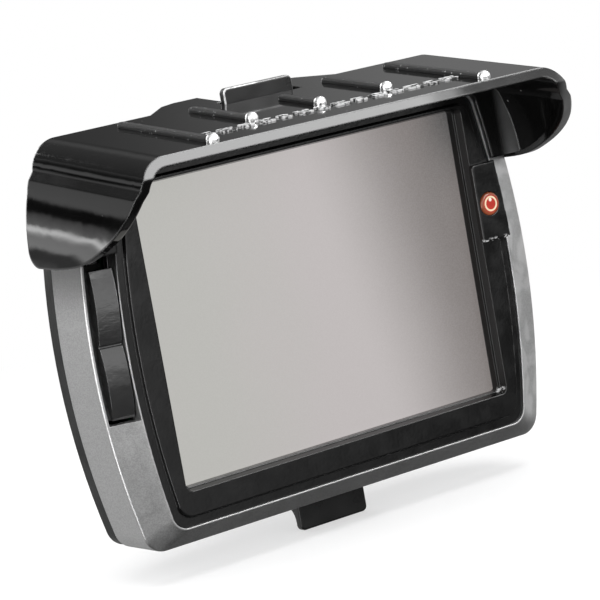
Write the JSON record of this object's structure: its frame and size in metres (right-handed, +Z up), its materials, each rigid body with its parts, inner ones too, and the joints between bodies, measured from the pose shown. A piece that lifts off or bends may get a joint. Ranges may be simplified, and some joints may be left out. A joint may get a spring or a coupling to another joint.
{
  "type": "radar detector",
  "caption": "Dash-mounted radar detector: wide display in a bowed silver frame, ribbed black sun hood above, red power button, volume rocker and a sprung rear cradle.",
  "frame": {"origin": "centre of the cradle's four-hole mounting pattern, on the cradle's rear mounting face", "axes": "+X to the right of a driver who faces the display, +Y forwards in the car (out of the mounting face), +Z up"},
  "size_m": [0.1002, 0.0512, 0.0819],
  "materials": {
    "hood_plastic": "smooth satin black",
    "rib_plastic": "dull speckled black",
    "stud_chrome": "polished",
    "trim_paint": "light grey print",
    "pad_rubber": "soft",
    "bezel_plastic": "fine-textured black",
    "display_film": "anti-glare film over the display, unlit",
    "display_cell": "dark cell",
    "guide_acrylic": "clear acrylic",
    "tray_steel": "stamped",
    "button_red": "translucent dark red",
    "button_ring": "cream light ring",
    "frame_silver": "metallic silver paint on plastic",
    "rocker_gloss": "polished black",
    "screw_steel": "zinc plated",
    "spring_steel": "bright wire",
    "board_laminate": "green solder mask",
    "chip_resin": "moulded resin",
    "carrier_plastic": "moulded grey-black",
    "horn_metal": "die cast",
    "sensor_black": "moulded black",
    "lens_red": "infrared-pass dark red",
    "patch_ceramic": "fired ceramic with a metal patch",
    "cell_foil": "laminated foil pouch",
    "socket_tin": "tin plated",
    "card_plastic": "plain black",
    "ribbon_amber": "polyimide film",
    "shell_plastic": "fine-textured black",
    "window_smoke": "smoked",
    "cradle_plastic": "satin black",
    "cover_steel": "black-finished sheet"
  },
  "bodies": {
    "housing": {"hood_shell": "hood_plastic", "hood_ribs": "rib_plastic", "hood_studs": "stud_chrome", "hood_trim_bars": "trim_paint", "hood_pads": "pad_rubber", "front_bezel": "bezel_plastic", "display_gasket": "pad_rubber", "touch_panel": "display_film", "lcd_panel": "display_cell", "light_guide": "guide_acrylic", "backlight_tray": "tray_steel", "button_plate": "bezel_plastic", "button_board": "board_laminate", "power_switch": "chip_resin", "side_frame": "frame_silver", "rocker_pin": "screw_steel", "rocker_bracket": "tray_steel", "key_board": "board_laminate", "key_switches": "chip_resin", "display_carrier": "carrier_plastic", "main_board": "board_laminate", "board_chips": "chip_resin", "shield_can": "tray_steel", "horn_antenna": "horn_metal", "laser_sensor": "sensor_black", "laser_lens": "lens_red", "gps_antenna": "patch_ceramic", "battery": "cell_foil", "speaker": "sensor_black", "usb_socket": "socket_tin", "card_socket": "carrier_plastic", "display_flex": "ribbon_amber", "rear_shell": "shell_plastic", "radar_window": "window_smoke", "case_screws": "screw_steel", "board_screws": "screw_steel", "carrier_screws": "screw_steel", "cradle": "cradle_plastic", "cradle_cover": "cover_steel", "cover_screws": "screw_steel", "jaw_springs": "spring_steel"},
    "power_button": {"power_button": "button_red", "button_light_ring": "button_ring"},
    "volume_rocker": {"volume_rocker": "rocker_gloss"},
    "upper_jaw": {"upper_jaw": "cradle_plastic"},
    "memory_card": {"memory_card": "card_plastic"}
  },
  "joints": [
    {"name": "power_button_press", "type": "slide", "parent": "housing", "child": "power_button", "axis": [0, 1, 0], "range_m": [0, 0.00035]},
    {"name": "volume_rocker_tilt", "type": "hinge", "parent": "housing", "child": "volume_rocker", "pos_m": [-0.0444, -0.0256, 0.001], "axis": [1, 0, 0], "range_deg": [-2.5, 2.5]},
    {"name": "upper_jaw_lift", "type": "slide", "parent": "housing", "child": "upper_jaw", "axis": [0, 0, 1], "range_m": [0, 0.004], "stiffness_N_per_m": 300, "springref_m": -0.004, "deforming": ["jaw_springs"]},
    {"name": "memory_card_slide", "type": "slide", "parent": "housing", "child": "memory_card", "axis": [0, 0, -1], "range_m": [0, 0.012]}
  ]
}
